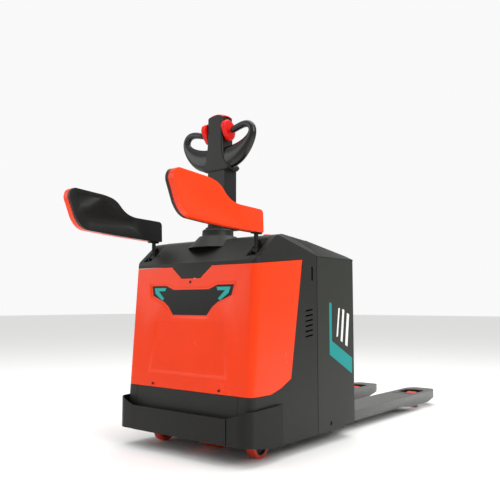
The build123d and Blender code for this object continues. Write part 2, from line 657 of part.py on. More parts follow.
loop_half = [(20, head_bottom + 2), (96, head_bottom + 8), (150, 1246), (196, 1300), (222, 1356),
             (212, 1404), (180, 1428), (140, 1424), (76, 1406), (head_half, 1406)]
loop_opening = [(head_half + 2, 1332), (112, 1334), (168, 1352), (190, 1378), (176, 1398),
                (140, 1396), (76, 1378), (head_half + 2, 1378)]
loop_at, loop_thick = 250.0, 36.0
wing_in, wing_out = head_half + 2.0, head_half + 28.0
with BuildPart() as hand_loops:
    for side in (-1, 1):
        with BuildSketch(Plane.XZ.offset(-y_of(loop_at + loop_thick / 2))) as loop:
            with BuildLine():
                Polyline(*[(side * x, z) for x, z in loop_half], close=True)
            make_face()
            fillet(loop.vertices().filter_by(lambda v: abs(v.X) > 60), 16)
            with BuildSketch(mode=Mode.PRIVATE) as opening:
                with BuildLine():
                    Polyline(*[(side * x, z) for x, z in loop_opening], close=True)
                make_face()
                fillet(opening.vertices().filter_by(lambda v: abs(v.X) > 60), 9)
            add(opening.sketch, mode=Mode.SUBTRACT)
        extrude(loop.sketch, amount=loop_thick)
    box(-collar_half, collar_half, 200, 320, head_bottom, head_bottom + 40, mode=Mode.SUBTRACT)
    box(-head_half, head_half, 200, 320, head_bottom, head_top, mode=Mode.SUBTRACT)
    # the grips end beside the throttle's wings and carry the ends of its shaft
    box(-wing_out - gap, wing_out + gap, 200, 320, 1340, head_top, mode=Mode.SUBTRACT)
    rod_x(throttle_shaft_radius + running, -wing_out - 12, wing_out + 12, throttle_at, throttle_z,
          mode=Mode.SUBTRACT)
keep(hand_loops, "hand_loops")

with BuildPart() as throttle:
    rod_x(throttle_shaft_radius, -wing_out - 11, wing_out + 11, throttle_at, throttle_z)
    for side in (-1, 1):
        side_slab([(206, 1414), (232, 1446), (262, 1438), (306, 1440), (306, 1424), (284, 1396),
                   (284, 1362), (258, 1346), (224, 1376)], side * wing_in, side * wing_out)
keep(throttle, "throttle")

with BuildPart() as belly_button:
    rod_z(belly_radius, head_top - 8, head_top + 6, 0, belly_at)
    box(-40, 40, belly_at - 30, belly_at + 24, head_top + 5, head_top + 12)
keep(belly_button, "belly_button")

for x, name in zip(button_places, ("lower_button", "horn_button", "lift_button")):
    with BuildPart() as button:
        rod_y(button_radius, x, head_back, head_back + 17, button_z)
    keep(button, name)

# ---------------------------------------------------------------- folding side guards
guard_outline = [(173, arm_seat_z), (170, 1001), (-4, 1006), (-52, 1024), (-96, 1070),
                 (-150, 1085), (-322, 1097), (-342, 1064), (-300, 962), (-262, 928),
                 (-96, 916), (100, arm_seat_z)]
pad_outline = [(167, arm_seat_z + 6), (164, 995), (-6, 1000), (-56, 1019), (-99, 1064),
               (-151, 1079), (-319, 1090), (-335, 1063), (-295, 966), (-259, 934),
               (-96, 922), (100, arm_seat_z + 6)]
for side, name in ((-1, "left"), (1, "right")):
    with BuildPart() as arm_shell:
        side_slab(guard_outline, side * (arm_split - 4), side * arm_outer, rounding=7.0)
        outer_face = arm_shell.faces().sort_by(Axis.X)[-1 if side > 0 else 0]
        fillet(outer_face.edges(), 5.0)
        side_slab(pad_outline, side * (arm_split - 5), side * arm_split, mode=Mode.SUBTRACT)
    keep(arm_shell, f"arm_shell_{name}")

    with BuildPart() as arm_pad:
        side_slab(pad_outline, side * (arm_inner + 0.1), side * arm_split)
        inner_face = arm_pad.faces().sort_by(Axis.X)[0 if side > 0 else -1]
        chamfer(inner_face.edges(), 3.0)
    keep(arm_pad, f"arm_pad_{name}")

    with BuildPart() as arm_rod:
        rod_x(arm_boss_radius, side * (arm_x - 12 + gap), side * (arm_x + 12 - gap), arm_pivot_at,
              arm_pivot_z)
        rod_z(arm_rod_radius, arm_pivot_z + 2, arm_seat_z - 2, side * arm_x, arm_pivot_at)
        box(side * (arm_split + 2), side * (arm_outer - 8), 116, 168, arm_seat_z - 6, arm_seat_z)
        rod_x(arm_pin_radius + running, side * 270, side * 340, arm_pivot_at, arm_pivot_z,
              mode=Mode.SUBTRACT)
    keep(arm_rod, f"arm_rod_{name}")

# ---------------------------------------------------------------- casters
for side, name in ((-1, "left"), (1, "right")):
    cheek = caster_width / 2 + 1.5
    wheel_at = caster_at + caster_trail
    with BuildPart() as caster_fork:
        rod_z(kingpin_radius, base_z - 12, base_z + 34, side * caster_x, caster_at)
        rod_z(30, base_z - 14, base_z - gap, side * caster_x, caster_at)
        for x in (-cheek - 5, cheek):
            side_slab([(caster_at - 22, base_z - 10), (caster_at + 26, base_z - 10),
                       (wheel_at + 12, caster_radius), (wheel_at - 12, caster_radius)],
                      side * caster_x + x, side * caster_x + x + 5)
            rod_x(12, side * caster_x + x, side * caster_x + x + 5, wheel_at, caster_radius)
        box(side * caster_x - cheek - 5, side * caster_x + cheek + 5, caster_at - 22,
            caster_at + 26, base_z - 18, base_z - 8)
        rod_x(caster_axle_radius, side * caster_x - cheek - 5, side * caster_x + cheek + 5,
              wheel_at, caster_radius)
    keep(caster_fork, f"caster_fork_{name}")

    with BuildPart() as caster_wheel:
        rod_x(caster_radius, side * caster_x - caster_width / 2, side * caster_x + caster_width / 2,
              wheel_at, caster_radius)
        fillet(caster_wheel.edges(), 5)
        rod_x(caster_axle_radius + running, side * caster_x - 40, side * caster_x + 40, wheel_at,
              caster_radius, mode=Mode.SUBTRACT)
    keep(caster_wheel, f"caster_wheel_{name}")

# ---------------------------------------------------------------- lifting carriage and forks
side_panel_thick = 6.0
carriage_half = body_half - side_panel_thick
carriage_inner = carriage_half - carriage_wall
front_plate_at = box_front_at + 2.0
shoe_front = bulkhead_at + gap
with BuildPart() as lift_carriage:
    box(-carriage_inner, carriage_inner, front_plate_at, front_plate_at + carriage_wall, 100, 800)
    box(-carriage_half, carriage_half, box_back_at - 12, box_back_at, 60, lid_base_z - 2)
    box(-carriage_inner, carriage_inner, 580, box_back_at - 6, floor_z, floor_z + carriage_wall)
    for side in (-1, 1):
        box(side * carriage_inner, side * carriage_half, front_plate_at, box_back_at, 60,
            lid_base_z - 2)
        # guide shoes on both sides of each rail
        for x in (rail_x - rail_half - gap - 14, rail_x + rail_half + gap):
            box(side * x, side * (x + 14), shoe_front + 4, front_plate_at + 1, 200, 700)
        # ribs that carry the torsion shaft under the floor
        for x in (fork_x - rib_out, fork_x + rib_out - carriage_wall):
            box(side * x, side * (x + carriage_wall), crank_at - 40, box_back_at,
                yoke_pivot_z - 14, floor_z + 1)
    # beam that the lift rod pushes on
    box(-70, 70, front_plate_at + 1, lift_rod_at + lift_barrel_radius + 2, lift_beam_z,
        lift_beam_z + 16)
    rod_z(lift_rod_radius, 400, lift_beam_z + 1, 0, lift_rod_at)
    # hinge pin of the lid, on two knuckles
    for side in (-1, 1):
        box(side * 60, side * 80, box_back_at - 1, lid_hinge_at + 7, lid_hinge_z - 7,
            lid_hinge_z + 7)
    rod_x(lid_pin_radius, -200, 200, lid_hinge_at, lid_hinge_z)
    rod_x(crank_shaft_radius + running, -300, 300, crank_at, yoke_pivot_z, mode=Mode.SUBTRACT)
    box(-56, 56, front_plate_at - 1, front_plate_at + 9, 99, 130, mode=Mode.SUBTRACT)
    for side in (-1, 1):
        box(side * (fork_x - 20), side * (fork_x + 20), box_back_at - 13, box_back_at + 1, 50,
            floor_z - 2, mode=Mode.SUBTRACT)
keep(lift_carriage, "lift_carriage")

nose_run = 62.0
for side, name in ((-1, "left"), (1, "right")):
    centre = side * fork_x
    half = fork_width / 2
    plan = [(centre - half, box_back_at), (centre + half, box_back_at),
            (centre + half, fork_tip_at - nose_run), (centre + half - 22, fork_tip_at - 10),
            (centre + half - 46, fork_tip_at), (centre - half + 46, fork_tip_at),
            (centre - half + 22, fork_tip_at - 10), (centre - half, fork_tip_at - nose_run)]
    with BuildPart() as fork:
        plan_slab(plan, 0, fork_top)
        # the skirts deepen towards the load wheel and rise to the tip
        side_slab([(box_back_at, fork_skirt), (1476, fork_skirt + 4), (1600, fork_belly),
                   (load_wheel_at + 22, fork_belly), (fork_tip_at - 30, 54), (fork_tip_at, 62),
                   (fork_tip_at + 5, 130), (box_back_at, 130)], centre - half, centre + half,
                  mode=Mode.INTERSECT)
        box(centre - half + 8, centre + half - 8, box_back_at - 1, fork_tip_at - nose_run, 0,
            fork_top - fork_plate, mode=Mode.SUBTRACT)
        box(centre - half + 30, centre + half - 30, box_back_at, fork_tip_at - 24, 0,
            fork_top - fork_plate, mode=Mode.SUBTRACT)
        # window over the wheel, and the slot in front of it
        with BuildSketch(Plane.XY.offset(fork_top - 10)) as window:
            with Locations((centre, y_of(load_wheel_at - 10))):
                Rectangle(120, 168)
            fillet(window.vertices(), 48)
            with Locations((centre, y_of(load_wheel_at - 128))):
                SlotOverall(130, 14)
        extrude(window.sketch, amount=20, mode=Mode.SUBTRACT)
        # pin of the yoke, across both skirts
        rod_x(yoke_pin_radius, centre - half, centre + half, yoke_pivot_at, yoke_pivot_z)
    keep(fork, f"fork_{name}")

for side, name in ((-1, "left"), (1, "right")):
    with BuildPart() as side_panel:
        side_slab([(box_front_at, panel_bottom), (718, panel_bottom), (724, 64),
                   (box_back_at, 64), (box_back_at, lid_base_z - gap), (box_front_at, lid_base_z - gap)],
                  side * carriage_half, side * body_half)
        outer = side_panel.edges().filter_by(Axis.Z).filter_by(
            lambda e: abs(abs(e.center().X) - body_half) < 0.1 and e.center().Y > y_of(800))
        fillet(outer, 5)
        rod_x(9, side * 340, side * 370, box_front_at + 103, panel_bottom + 34, mode=Mode.SUBTRACT)
    keep(side_panel, f"side_panel_{name}")

battery_half = carriage_half - 30
with BuildPart() as battery_pack:
    box(-battery_half, battery_half, 584, box_back_at - 20, floor_z + carriage_wall, 800)
    fillet(battery_pack.edges().filter_by(Axis.Z), 8)
    for x in (-180, 180):
        rod_z(16, 799, 815, x, 640)
keep(battery_pack, "battery_pack")

# the lid: its shoulders fall away from the middle, and its top falls to the rear
def lid_section(at, inset, shoulder, top):
    """Front-view outline of the lid at one distance."""
    with BuildSketch(Plane.XZ.offset(-y_of(at))) as section:
        with BuildLine():
            Polyline(
                (-body_half + inset, lid_base_z - (10 if inset else 0)),
                (-body_half + inset, lid_base_z + 4 - inset * 0.4),
                (-body_half + shoulder + inset * 0.4, top - inset),
                (body_half - shoulder - inset * 0.4, top - inset),
                (body_half - inset, lid_base_z + 4 - inset * 0.4),
                (body_half - inset, lid_base_z - (10 if inset else 0)),
                close=True,
            )
        make_face()
    return section.sketch


lid_outer = [lid_section(box_front_at, 0, lid_shoulder, lid_front_z),
             lid_section(box_back_at, 0, 40.0, lid_back_z)]
lid_inner = [lid_section(box_front_at + cover_wall, cover_wall, lid_shoulder, lid_front_z),
             lid_section(box_back_at - cover_wall, cover_wall, 40.0, lid_back_z)]
with BuildPart() as battery_lid:
    loft(lid_outer, ruled=True)
    loft(lid_inner, ruled=True, mode=Mode.SUBTRACT)
    # knuckles round the hinge pin
    for side in (-1, 1):
        box(side * 100, side * 160, box_back_at - 3, lid_hinge_at, lid_hinge_z, lid_base_z + 8)
        rod_x(lid_knuckle_radius, side * 100, side * 160, lid_hinge_at, lid_hinge_z)
    box(-300, 300, box_back_at - 13, box_back_at + gap, 780, lid_base_z - 0.1, mode=Mode.SUBTRACT)
    rod_x(lid_pin_radius + running, -300, 300, lid_hinge_at, lid_hinge_z, mode=Mode.SUBTRACT)
keep(battery_lid, "battery_lid")

# bent coloured band and slanted bars on both side panels
mark_thick = 0.6
band = [(604, 627), (604, 392), (800, 292), (800, 366), (624, 452), (624, 622)]
bars = [[(664, 470), (676, 470), (696, 600), (684, 600)], [(700, 450), (716, 442), (736, 590), (720, 596)],
        [(740, 430), (760, 420), (780, 570), (760, 578)]]
with BuildPart() as side_marks:
    for side in (-1, 1):
        for outline in [band] + bars:
            side_slab(outline, side * body_half, side * (body_half + mark_thick))
keep(side_marks, "side_marks")

# ---------------------------------------------------------------- load wheels and their linkage
yoke_in, yoke_out = load_wheel_width / 2 + 2, load_wheel_width / 2 + 10
for side, name in ((-1, "left"), (1, "right")):
    centre = side * fork_x
    with BuildPart() as load_yoke:
        for x0, x1 in ((-yoke_out, -yoke_in), (yoke_in, yoke_out)):
            side_slab([(yoke_pivot_at, yoke_pivot_z + 14), (yoke_pivot_at - 4, yoke_pivot_z - 14),
                       (load_wheel_at, load_wheel_radius - 13),
                       (load_wheel_at, load_wheel_radius + 13)], centre + x0, centre + x1)
            rod_x(14, centre + x0, centre + x1, yoke_pivot_at, yoke_pivot_z)
            rod_x(13, centre + x0, centre + x1, load_wheel_at, load_wheel_radius)
        rod_x(12, centre - yoke_out, centre + yoke_out, yoke_pivot_at, yoke_pivot_z)
        for x0, x1 in ((-lever_out, -lever_in), (lever_in, lever_out)):
            box(centre + x0, centre + x1, yoke_pivot_at - 8, yoke_pivot_at + 8,
                yoke_pivot_z - rod_offset, yoke_pivot_z)
            rod_x(rod_eye_radius, centre + x0, centre + x1, yoke_pivot_at,
                  yoke_pivot_z - rod_offset)
        rod_x(rod_pin_radius, centre - lever_out, centre + lever_out, yoke_pivot_at,
              yoke_pivot_z - rod_offset)
        rod_x(load_axle_radius, centre - yoke_out, centre + yoke_out, load_wheel_at,
              load_wheel_radius)
        rod_x(yoke_pin_radius + running, centre - 60, centre + 60, yoke_pivot_at, yoke_pivot_z,
              mode=Mode.SUBTRACT)
    keep(load_yoke, f"load_yoke_{name}")

    with BuildPart() as load_wheel:
        rod_x(load_wheel_radius, centre - load_wheel_width / 2, centre + load_wheel_width / 2,
              load_wheel_at, load_wheel_radius)
        chamfer(load_wheel.edges(), 2.5)
        rod_x(load_axle_radius + running, centre - 60, centre + 60, load_wheel_at,
              load_wheel_radius, mode=Mode.SUBTRACT)
    keep(load_wheel, f"load_wheel_{name}")

# torsion shaft under the battery, with a lever in line with each fork
with BuildPart() as bell_crank:
    rod_x(crank_shaft_radius, -fork_x - rib_out - 10, fork_x + rib_out + 10, crank_at, yoke_pivot_z)
    for centre in (-fork_x, fork_x):
        for x0, x1 in ((-lever_out, -lever_in), (lever_in, lever_out)):
            box(centre + x0, centre + x1, crank_at - 8, crank_at + 8, yoke_pivot_z - rod_offset,
                yoke_pivot_z)
            rod_x(rod_eye_radius, centre + x0, centre + x1, crank_at, yoke_pivot_z - rod_offset)
            rod_x(crank_shaft_radius + 2, centre + x0, centre + x1, crank_at, yoke_pivot_z)
        rod_x(rod_pin_radius, centre - lever_out, centre + lever_out, crank_at,
              yoke_pivot_z - rod_offset)
    for x0 in (-12, 6):
        box(x0, x0 + 6, crank_at - 10, crank_at + 10, yoke_pivot_z - 30, yoke_pivot_z)
    rod_x(5, -12, 12, crank_at, yoke_pivot_z - 22)
keep(bell_crank, "bell_crank")

with BuildPart() as pull_rods:
    for centre in (-fork_x, fork_x):
        rod_y(pull_rod_radius, centre, crank_at + rod_eye_radius - 2,
              yoke_pivot_at - rod_eye_radius + 2, yoke_pivot_z - rod_offset)
        for at in (crank_at, yoke_pivot_at):
            rod_x(rod_eye_radius, centre - lever_in + gap, centre + lever_in - gap, at,
                  yoke_pivot_z - rod_offset)
        for at in (crank_at, yoke_pivot_at):
            rod_x(rod_pin_radius + running, centre - 20, centre + 20, at,
                  yoke_pivot_z - rod_offset, mode=Mode.SUBTRACT)
keep(pull_rods, "pull_rods")

# ---------------------------------------------------------------- written files
os.makedirs("parts", exist_ok=True)
for piece in finished:
    export_step(piece, f"parts/{piece.label}.step")
print(len(finished), "pieces; yoke swing", round(yoke_full - yoke_rest, 3), "degrees")
print("ratio", round(radians(yoke_full - yoke_rest) / (lift_travel / 1000), 4), "rad/m")
print("yoke pivot", round(y_of(yoke_pivot_at), 3))
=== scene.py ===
"""Looks of a stand-on electric pallet truck: moulded covers, painted steel, polyurethane wheels.

Everything is in metres in the truck's own frame: +Y along the forks, +X to the right of the
operator, +Z up. Sizes below are in millimetres and are turned to metres where they are used.
"""
import json
import math

import bmesh
import bpy
from mathutils import Matrix, Vector

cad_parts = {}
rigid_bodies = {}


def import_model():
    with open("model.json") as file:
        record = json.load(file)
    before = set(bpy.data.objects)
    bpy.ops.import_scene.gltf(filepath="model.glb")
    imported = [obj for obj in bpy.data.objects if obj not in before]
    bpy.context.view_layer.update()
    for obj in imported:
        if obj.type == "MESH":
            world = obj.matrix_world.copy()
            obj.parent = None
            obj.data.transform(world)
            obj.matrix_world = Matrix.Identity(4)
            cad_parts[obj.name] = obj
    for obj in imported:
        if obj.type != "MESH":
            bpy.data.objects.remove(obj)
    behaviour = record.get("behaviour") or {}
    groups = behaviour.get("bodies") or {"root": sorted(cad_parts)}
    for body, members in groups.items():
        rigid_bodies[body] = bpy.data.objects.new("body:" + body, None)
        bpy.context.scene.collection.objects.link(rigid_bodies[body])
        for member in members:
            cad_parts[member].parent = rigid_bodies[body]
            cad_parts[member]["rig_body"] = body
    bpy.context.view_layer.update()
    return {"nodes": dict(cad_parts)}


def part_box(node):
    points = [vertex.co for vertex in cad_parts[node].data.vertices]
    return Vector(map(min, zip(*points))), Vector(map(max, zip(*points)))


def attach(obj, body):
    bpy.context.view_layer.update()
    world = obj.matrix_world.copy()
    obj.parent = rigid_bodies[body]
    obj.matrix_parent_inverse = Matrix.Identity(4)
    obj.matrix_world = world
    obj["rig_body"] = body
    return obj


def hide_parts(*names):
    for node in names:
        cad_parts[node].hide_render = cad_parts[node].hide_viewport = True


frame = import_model()
nodes = frame["nodes"]
scene = bpy.context.scene

MM = 0.001
bumper_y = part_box("bumper_plate")[0].y       # front plane of the bumper, the datum along Y


def at(distance):
    """Y of a distance in millimetres behind the bumper's front plate."""
    return bumper_y + distance * MM


def point(x, behind, z):
    """A place given in millimetres: across, behind the bumper plate, above the floor."""
    return Vector((x * MM, at(behind), z * MM))


# ------------------------------------------------------------------ materials
def linear(hex_colour):
    """An sRGB hex colour as linear RGBA."""
    values = [int(hex_colour[i:i + 2], 16) / 255 for i in (1, 3, 5)]
    return [v / 12.92 if v <= 0.04045 else ((v + 0.055) / 1.055) ** 2.4 for v in values] + [1.0]


def add_node(tree, kind, settings=None, links=None):
    """Adds a node, sets its properties or its sockets' values, and links other nodes' outputs."""
    node = tree.nodes.new("ShaderNode" + kind)
    for key, value in (settings or {}).items():
        if hasattr(node, key):
            setattr(node, key, value)
        else:
            node.inputs[key].default_value = value
    for key, source in (links or {}).items():
        tree.links.new(source, node.inputs[key])
    return node


def surface(name, colour, roughness, grain_mm, grain_depth, spread=0.12, **shader):
    """A finish with a fine surface grain, uneven gloss and a slightly uneven colour.

    grain_mm is the size of the surface's texture and grain_depth its height, both in millimetres.
    """
    material = bpy.data.materials.new(name)
    material.use_nodes = True
    tree = material.node_tree
    tree.nodes.clear()
    place = add_node(tree, "TexCoord").outputs["Object"]
    grain = add_node(tree, "TexNoise", {"Scale": 1000 / grain_mm, "Detail": 3.0, "Roughness": 0.55},
                     {"Vector": place})
    cloud = add_node(tree, "TexNoise", {"Scale": 1000 / 140, "Detail": 4.0, "Roughness": 0.6},
                     {"Vector": place})
    tint = add_node(tree, "ValToRGB", links={"Fac": cloud.outputs["Fac"]})
    base = linear(colour)
    tint.color_ramp.elements[0].position = 0.3
    tint.color_ramp.elements[1].position = 0.7
    tint.color_ramp.elements[0].color = [c * (1 - spread) for c in base[:3]] + [1]
    tint.color_ramp.elements[1].color = [min(1, c * (1 + spread)) for c in base[:3]] + [1]
    gloss = add_node(tree, "MapRange", {"To Min": roughness * 0.88, "To Max": roughness * 1.14},
                     {"Value": cloud.outputs["Fac"]})
    bump = add_node(tree, "Bump", {"Strength": 1.0, "Distance": grain_depth * MM},
                    {"Height": grain.outputs["Fac"]})
    body = add_node(tree, "BsdfPrincipled", shader,
                    {"Base Color": tint.outputs["Color"], "Roughness": gloss.outputs["Result"],
                     "Normal": bump.outputs["Normal"]})
    add_node(tree, "OutputMaterial", links={"Surface": body.outputs["BSDF"]})
    return material


def worn(material, scratch_mm, depth, colour):
    """Adds long fine scuffs along Y, as pallets leave on painted forks."""
    tree = material.node_tree
    body = next(n for n in tree.nodes if n.type == "BSDF_PRINCIPLED")
    place = tree.nodes.new("ShaderNodeTexCoord").outputs["Object"]
    stretch = add_node(tree, "Mapping", {"Scale": (1000 / scratch_mm, 9.0, 1000 / scratch_mm)},
                       {"Vector": place})
    scuff = add_node(tree, "TexNoise", {"Scale": 1.0, "Detail": 6.0, "Roughness": 0.7},
                     {"Vector": stretch.outputs["Vector"]})
    mask = add_node(tree, "MapRange", {"From Min": 0.56, "From Max": 0.78},
                    {"Value": scuff.outputs["Fac"]})
    paint = body.inputs["Base Color"].links[0].from_socket
    mix = add_node(tree, "MixRGB", {"Color2": linear(colour)},
                   {"Fac": mask.outputs["Result"], "Color1": paint})
    tree.links.new(mix.outputs["Color"], body.inputs["Base Color"])
    bump = body.inputs["Normal"].links[0].from_node
    groove = add_node(tree, "Bump", {"Strength": 0.6, "Distance": depth * MM, "invert": True},
                      {"Height": mask.outputs["Result"], "Normal": bump.outputs["Normal"]})
    tree.links.new(groove.outputs["Normal"], body.inputs["Normal"])
    return material


# Glossy two-pack paint on moulded ABS: a faint orange peel and a clear, wet highlight.
orange_painted_abs = surface("orange_painted_abs", "#F23C08", 0.26, 2.6, 0.010, 0.03,
                             **{"Specular IOR Level": 0.22, "Coat Weight": 0.12, "Coat Roughness": 0.12})
# Moulded ABS with a spark-eroded grain: satin, dark grey, never mirror-like.
grained_black_abs = surface("grained_black_abs", "#1C1E1A", 0.44, 1.6, 0.04, 0.08,
                            **{"Specular IOR Level": 0.30})
# Polyester powder coat on sheet steel: coarse orange peel, satin.
black_powder_coat = surface("black_powder_coat", "#0B0C0A", 0.42, 2.2, 0.05, 0.10,
                            **{"Specular IOR Level": 0.28})
charcoal_powder_coat = surface("charcoal_powder_coat", "#2C2E29", 0.46, 2.2, 0.05, 0.05,
                               **{"Specular IOR Level": 0.25})
# Brushed-on enamel over welded plate, rubbed by pallets.
fork_enamel = worn(surface("fork_enamel", "#393A36", 0.24, 3.0, 0.03, 0.08,
                           **{"Specular IOR Level": 0.55}), 1.6, 0.03, "#6E6E6A")
# Cast polyurethane tread: waxy, warm orange, slightly translucent at the edge.
polyurethane = surface("polyurethane", "#D2380F", 0.40, 1.2, 0.05, 0.14,
                       **{"Subsurface Weight": 0.08, "Subsurface Scale": 0.004})
# Sand-cast iron under black primer.
cast_iron = surface("cast_iron", "#171817", 0.55, 1.8, 0.18, 0.2, **{"Specular IOR Level": 0.35})
# Grey casting paint on pump and gearbox.
casting_paint = surface("casting_paint", "#6B7073", 0.5, 2.4, 0.15, 0.15)
# Turned and ground steel, for pins and rods.
ground_steel = surface("ground_steel", "#A9ABAC", 0.28, 0.8, 0.01, 0.08, **{"Metallic": 1.0})
# Black-oxide screws.
black_oxide = surface("black_oxide", "#0C0D0C", 0.40, 0.8, 0.02, 0.2, **{"Specular IOR Level": 0.3})
# Glass-filled nylon grips, polished by hands.
polished_nylon = surface("polished_nylon", "#0B0C0B", 0.24, 3.4, 0.01, 0.2)
# Moulded head shell, a little duller than the grips.
head_nylon = surface("head_nylon", "#161815", 0.42, 1.4, 0.04, 0.10, **{"Specular IOR Level": 0.35})
# Integral-skin foam of the guards' inner sides: black, leathery, satin.
skinned_foam = surface("skinned_foam", "#0C0D0B", 0.46, 1.8, 0.08, 0.2, **{"Specular IOR Level": 0.4})
# Red acetal switches.
red_acetal = surface("red_acetal", "#E4160C", 0.28, 2.6, 0.006, 0.03, **{"Specular IOR Level": 0.3})
# Smoked polycarbonate panel in the face.
smoked_polycarbonate = surface("smoked_polycarbonate", "#131512", 0.30, 3.0, 0.01, 0.10,
                               **{"Specular IOR Level": 0.22})
# Teal lamp lens.
teal_lens = surface("teal_lens", "#17A39B", 0.30, 2.0, 0.01, 0.04, **{"Specular IOR Level": 0.3})
# Cast vinyl films on the side panels.
teal_vinyl = surface("teal_vinyl", "#0E8F8C", 0.40, 3.0, 0.01, 0.03, **{"Specular IOR Level": 0.25})
white_vinyl = surface("white_vinyl", "#ECEDEA", 0.40, 3.0, 0.01, 0.02)
# Extruded aluminium heatsink and the battery's polypropylene case, inside the covers.
extruded_aluminium = surface("extruded_aluminium", "#B6B9BB", 0.35, 1.0, 0.03, 0.06, **{"Metallic": 1.0})
polypropylene = surface("polypropylene", "#3B4044", 0.5, 2.0, 0.06, 0.08)

# ------------------------------------------------------------------ mesh helpers
crease_angle = 32            # edges that turn by more degrees than this are drawn sharp
merge_gap = 2e-5             # metres, points of a CAD mesh this near are one point
flat_angle = 0.6             # degrees, faces that turn by less are joined


def link(name, mesh, material, body=None):
    """Makes an object of a mesh at the origin, gives it its finish and lets it ride on a body."""
    piece = bpy.data.objects.new(name, mesh)
    mesh.materials.append(material)
    scene.collection.objects.link(piece)
    if body:
        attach(piece, body)
    return piece


def body_of(node):
    """The body that a CAD node rides on."""
    return nodes[node]["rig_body"]


def merged(node):
    """A bmesh copy of a CAD node with its doubles merged and its flat faces joined."""
    bm = bmesh.new()
    bm.from_mesh(nodes[node].data)
    bmesh.ops.remove_doubles(bm, verts=bm.verts, dist=merge_gap)
    bmesh.ops.dissolve_limit(bm, angle_limit=math.radians(flat_angle), verts=bm.verts,
                             edges=bm.edges)
    return bm


def finish_mesh(bm, name):
    """Turns a bmesh into a smooth-shaded mesh; creases and edges marked sharp stay sharp."""
    for face in bm.faces:
        face.smooth = True
    for edge in bm.edges:
        edge.smooth = (edge.smooth and edge.is_manifold
                       and edge.calc_face_angle(0) < math.radians(crease_angle))
    mesh = bpy.data.meshes.new(name)
    bm.to_mesh(mesh)
    bm.free()
    return mesh


def round_edges(piece, radius, segments=2, angle=crease_angle):
    """A live bevel on the edges that turn by more than angle degrees."""
    bevel = piece.modifiers.new("edge_radius", "BEVEL")
    bevel.width = radius * MM
    bevel.segments = segments
    bevel.limit_method = "ANGLE"
    bevel.angle_limit = math.radians(angle)
    bevel.harden_normals = True
    bevel.use_clamp_overlap = True
    return piece


def refined(node, material, radius, bm=None):
    """Stands for a CAD node: the same shape with rounded edges and its own finish."""
    piece = link(node + "_finished", finish_mesh(bm or merged(node), node + "_finished"), material,
                 body_of(node))
    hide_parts(node)
    return round_edges(piece, radius)


def paint(node, material):
    """Gives a CAD node that stays as it is its finish."""
    mesh = nodes[node].data
    mesh.materials.clear()
    mesh.materials.append(material)


def turned(name, profile, centre, axis, material, body, steps=48):
    """A turned piece: a profile of (radius, along) points in millimetres spun about an axis."""
    bm = bmesh.new()
    verts = [bm.verts.new((r * MM, 0, h * MM)) for r, h in profile]
    edges = [bm.edges.new((a, b)) for a, b in zip(verts, verts[1:])]
    bmesh.ops.spin(bm, geom=verts + edges, cent=(0, 0, 0), axis=(0, 0, 1), angle=2 * math.pi,
                   steps=steps, use_merge=True)
    bmesh.ops.remove_doubles(bm, verts=bm.verts, dist=1e-6)
    bmesh.ops.recalc_face_normals(bm, faces=bm.faces)
    turn = Vector((0, 0, 1)).rotation_difference(Vector(axis)).to_matrix().to_4x4()
    bmesh.ops.transform(bm, matrix=Matrix.Translation(centre) @ turn, verts=bm.verts)
    return link(name, finish_mesh(bm, name), material, body)


# ------------------------------------------------------------------ outlines made solid
def side_place(distance, z, x):
    """Side view: distance behind the bumper plate, height, and depth across."""
    return point(x, distance, z)


def front_place(x, z, distance):
    """Front view: across, height, and depth behind the bumper plate."""
    return point(x, distance, z)


def slab(outline, place, low, high, corner=0.0, steps=4):
    """A bmesh of an outline with rounded corners, extruded from low to high."""
    bm = bmesh.new()
    verts = [bm.verts.new(place(u, v, low)) for u, v in outline]
    bm.faces.new(verts)
    if corner:
        bmesh.ops.bevel(bm, geom=verts, offset=corner * MM, offset_type="OFFSET", segments=steps,
                        profile=0.5, affect="VERTICES", material=-1)
    grown = bmesh.ops.extrude_face_region(bm, geom=bm.faces[:])
    moved = [v for v in grown["geom"] if isinstance(v, bmesh.types.BMVert)]
    bmesh.ops.translate(bm, verts=moved, vec=place(0, 0, high) - place(0, 0, low))
    bmesh.ops.recalc_face_normals(bm, faces=bm.faces)
    return bm


def mirrored(outline):
    """The same outline on the other side of the middle plane."""
    return [(-u, v) for u, v in outline]


def symmetric(half):
    """A closed outline from its right half, given from the top to the bottom."""
    return half + mirrored(half)[::-1]


def subdivided(piece, levels=2):
    """A live subdivision surface."""
    smooth = piece.modifiers.new("rounding", "SUBSURF")
    smooth.levels = levels
    smooth.render_levels = levels
    return piece


def smooth_mesh(bm, name):
    """Turns a bmesh into a mesh that is smooth all over."""
    for face in bm.faces:
        face.smooth = True
    mesh = bpy.data.meshes.new(name)
    bm.to_mesh(mesh)
    bm.free()
    return mesh


def facing(bm, direction, least=0.9):
    """The faces that look along a direction."""
    direction = Vector(direction)
    return [f for f in bm.faces if f.normal.dot(direction) > least]


# ------------------------------------------------------------------ finishes of the nodes kept as they are
for node, material in {
    "chassis_frame": black_powder_coat, "slewing_ring": ground_steel, "pump_pack": casting_paint,
    "controller": extruded_aluminium, "lift_cylinder": black_powder_coat,
    "guard_brackets": black_powder_coat, "gearbox": casting_paint,
    "traction_motor": black_powder_coat, "face_panel": smoked_polycarbonate,
    "accent_lamps": teal_lens, "cover_screws": black_oxide, "footboard_hinge": black_powder_coat,
    "battery_pack": polypropylene, "bell_crank": ground_steel, "pull_rods": ground_steel,
    "lift_carriage": charcoal_powder_coat, "lift_button": polished_nylon,
    "lower_button": polished_nylon, "horn_button": red_acetal, "key": ground_steel,
    "arm_rod_left": black_powder_coat, "arm_rod_right": black_powder_coat,
}.items():
    paint(node, material)

